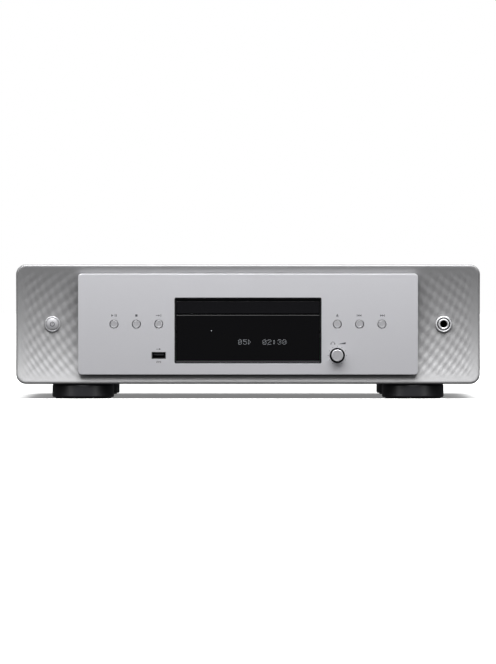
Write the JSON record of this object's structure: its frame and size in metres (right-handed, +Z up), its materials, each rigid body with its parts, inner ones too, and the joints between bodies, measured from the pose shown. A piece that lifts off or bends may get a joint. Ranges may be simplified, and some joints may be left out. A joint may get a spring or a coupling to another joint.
{
  "type": "cd player",
  "caption": "Full-width hi-fi disc player with a dished, rippled silver fascia, floating control plate, motorised disc tray, display window, level knob and round feet.",
  "frame": {"origin": "on the resting surface under the middle of the bounding box", "axes": "+X to the right seen from the front, -Y out of the front, +Z up"},
  "size_m": [0.442, 0.408, 0.128],
  "materials": {
    "fascia_silver": "silver lacquered moulding, satin",
    "plate_aluminium": "fine blasted and anodised",
    "control_metal": "turned and anodised",
    "bright_trim": "polished plating",
    "window_black": "gloss black",
    "window_lens": "smoked acrylic",
    "moulded_black": "moulded black",
    "white_moulding": "natural acetal",
    "coated_steel": "silver powder coat",
    "zinc_steel": "zinc-plated sheet",
    "ground_steel": "ground bright",
    "lens_glass": "coated lens",
    "circuit_board": "solder resist",
    "winding_tape": "wound polyester tape",
    "gold_plating": "gold plated",
    "foot_black": "gloss black moulding",
    "belt_rubber": "moulded rubber"
  },
  "bodies": {
    "case": {"front_fascia": "fascia_silver", "front_plate": "plate_aluminium", "power_button_ring": "bright_trim", "window_bezel": "window_black", "display_lens": "window_lens", "display_module": "moulded_black", "level_potentiometer": "moulded_black", "headphone_socket": "moulded_black", "loader_frame": "moulded_black", "mains_inlet": "moulded_black", "remote_sockets": "moulded_black", "reservoir_capacitor_left": "moulded_black", "reservoir_capacitor_right": "moulded_black", "top_cover": "coated_steel", "rear_panel": "coated_steel", "bottom_chassis": "zinc_steel", "mechanism_bracket_left": "zinc_steel", "mechanism_bracket_right": "zinc_steel", "clamp_bridge": "zinc_steel", "transformer_clamp": "zinc_steel", "loader_motor": "zinc_steel", "usb_socket": "zinc_steel", "front_board": "circuit_board", "power_board": "circuit_board", "audio_board": "circuit_board", "transformer": "winding_tape", "analog_out_sockets": "gold_plating", "digital_sockets": "gold_plating", "foot_front_left": "foot_black", "foot_front_right": "foot_black", "foot_rear_left": "foot_black", "foot_rear_right": "foot_black", "drive_belt": "belt_rubber"},
    "tray": {"disc_tray": "moulded_black", "tray_door": "window_black"},
    "play_pause": {"play_pause_button": "control_metal"},
    "stop": {"stop_button": "control_metal"},
    "input": {"input_button": "control_metal"},
    "open_close": {"open_close_button": "control_metal"},
    "skip_back": {"skip_back_button": "control_metal"},
    "skip_forward": {"skip_forward_button": "control_metal"},
    "power": {"power_button": "control_metal"},
    "knob": {"level_knob": "control_metal", "level_shaft": "ground_steel"},
    "switch_slider": {"remote_switch": "moulded_black"},
    "drive_gear": {"tray_drive_gear": "white_moulding"},
    "pulley_gear": {"pulley_gear": "white_moulding"},
    "motor_pulley": {"motor_pulley": "white_moulding"},
    "cam": {"cam_slider": "white_moulding"},
    "traverse": {"traverse_chassis": "moulded_black", "spindle_motor": "zinc_steel", "guide_rod_main": "ground_steel", "guide_rod_side": "ground_steel", "sled_motor": "zinc_steel"},
    "turntable": {"turntable": "moulded_black"},
    "clamp": {"disc_clamp": "white_moulding"},
    "sled": {"pickup_sled": "moulded_black"},
    "lens": {"objective_lens": "lens_glass"},
    "screw": {"lead_screw": "ground_steel"}
  },
  "joints": [
    {"name": "tray_slide", "type": "slide", "parent": "case", "child": "tray", "axis": [0, -1, 0], "range_m": [0, 0.142]},
    {"name": "play_pause_press", "type": "slide", "parent": "case", "child": "play_pause", "axis": [0, 1, 0], "range_m": [0, 0.0012], "stiffness_N_per_m": 300},
    {"name": "stop_press", "type": "slide", "parent": "case", "child": "stop", "axis": [0, 1, 0], "range_m": [0, 0.0012], "stiffness_N_per_m": 300},
    {"name": "input_press", "type": "slide", "parent": "case", "child": "input", "axis": [0, 1, 0], "range_m": [0, 0.0012], "stiffness_N_per_m": 300},
    {"name": "open_close_press", "type": "slide", "parent": "case", "child": "open_close", "axis": [0, 1, 0], "range_m": [0, 0.0012], "stiffness_N_per_m": 300},
    {"name": "skip_back_press", "type": "slide", "parent": "case", "child": "skip_back", "axis": [0, 1, 0], "range_m": [0, 0.0012], "stiffness_N_per_m": 300},
    {"name": "skip_forward_press", "type": "slide", "parent": "case", "child": "skip_forward", "axis": [0, 1, 0], "range_m": [0, 0.0012], "stiffness_N_per_m": 300},
    {"name": "power_press", "type": "slide", "parent": "case", "child": "power", "axis": [0, 1, 0], "range_m": [0, 0.0012], "stiffness_N_per_m": 300},
    {"name": "level_turn", "type": "hinge", "parent": "case", "child": "knob", "pos_m": [0.085, -0.19, 0.0413], "axis": [0, -1, 0], "range_deg": [-150, 150]},
    {"name": "remote_select", "type": "slide", "parent": "case", "child": "switch_slider", "axis": [1, 0, 0], "range_m": [0, 0.004]},
    {"name": "drive_gear_spin", "type": "hinge", "parent": "case", "child": "drive_gear", "pos_m": [-0.038, -0.166, 0.081], "axis": [0, 0, 1], "range_deg": [-5, 683]},
    {"name": "pulley_gear_spin", "type": "hinge", "parent": "case", "child": "pulley_gear", "pos_m": [-0.021, -0.166, 0.081], "axis": [0, 0, 1], "range_deg": [-1632.2, 5]},
    {"name": "motor_spin", "type": "hinge", "parent": "case", "child": "motor_pulley", "pos_m": [0.025, -0.166, 0.079], "axis": [0, 0, 1], "range_deg": [-5862.9, 5]},
    {"name": "traverse_tilt", "type": "hinge", "parent": "case", "child": "traverse", "pos_m": [0, -0.02, 0.069], "axis": [1, 0, 0], "range_deg": [0, 6]},
    {"name": "cam_slide", "type": "slide", "parent": "case", "child": "cam", "axis": [1, 0, 0], "range_m": [-0.0005, 0.0245]},
    {"name": "turntable_spin", "type": "hinge", "parent": "traverse", "child": "turntable", "pos_m": [0, -0.125, 0.082], "axis": [0, 0, -1], "continuous": true},
    {"name": "clamp_spin", "type": "hinge", "parent": "case", "child": "clamp", "pos_m": [0, -0.125, 0.097], "axis": [0, 0, -1], "continuous": true},
    {"name": "sled_slide", "type": "slide", "parent": "traverse", "child": "sled", "axis": [0, 1, 0], "range_m": [0, 0.034]},
    {"name": "lens_focus", "type": "slide", "parent": "sled", "child": "lens", "axis": [0, 0, 1], "range_m": [-0.0008, 0.0008], "stiffness_N_per_m": 60},
    {"name": "screw_spin", "type": "hinge", "parent": "traverse", "child": "screw", "pos_m": [-0.034, -0.08, 0.076], "axis": [0, 1, 0], "range_deg": [-5, 4085]}
  ],
  "couplings": [
    {"joint": "drive_gear_spin", "follows": "tray_slide", "rad_per_m": 83.333},
    {"joint": "pulley_gear_spin", "follows": "tray_slide", "rad_per_m": -200},
    {"joint": "motor_spin", "follows": "tray_slide", "rad_per_m": -720},
    {"joint": "cam_slide", "follows": "traverse_tilt", "m_per_rad": 0.22918},
    {"joint": "clamp_spin", "follows": "turntable_spin", "ratio": 1},
    {"joint": "screw_spin", "follows": "sled_slide", "rad_per_m": 2094.4}
  ]
}
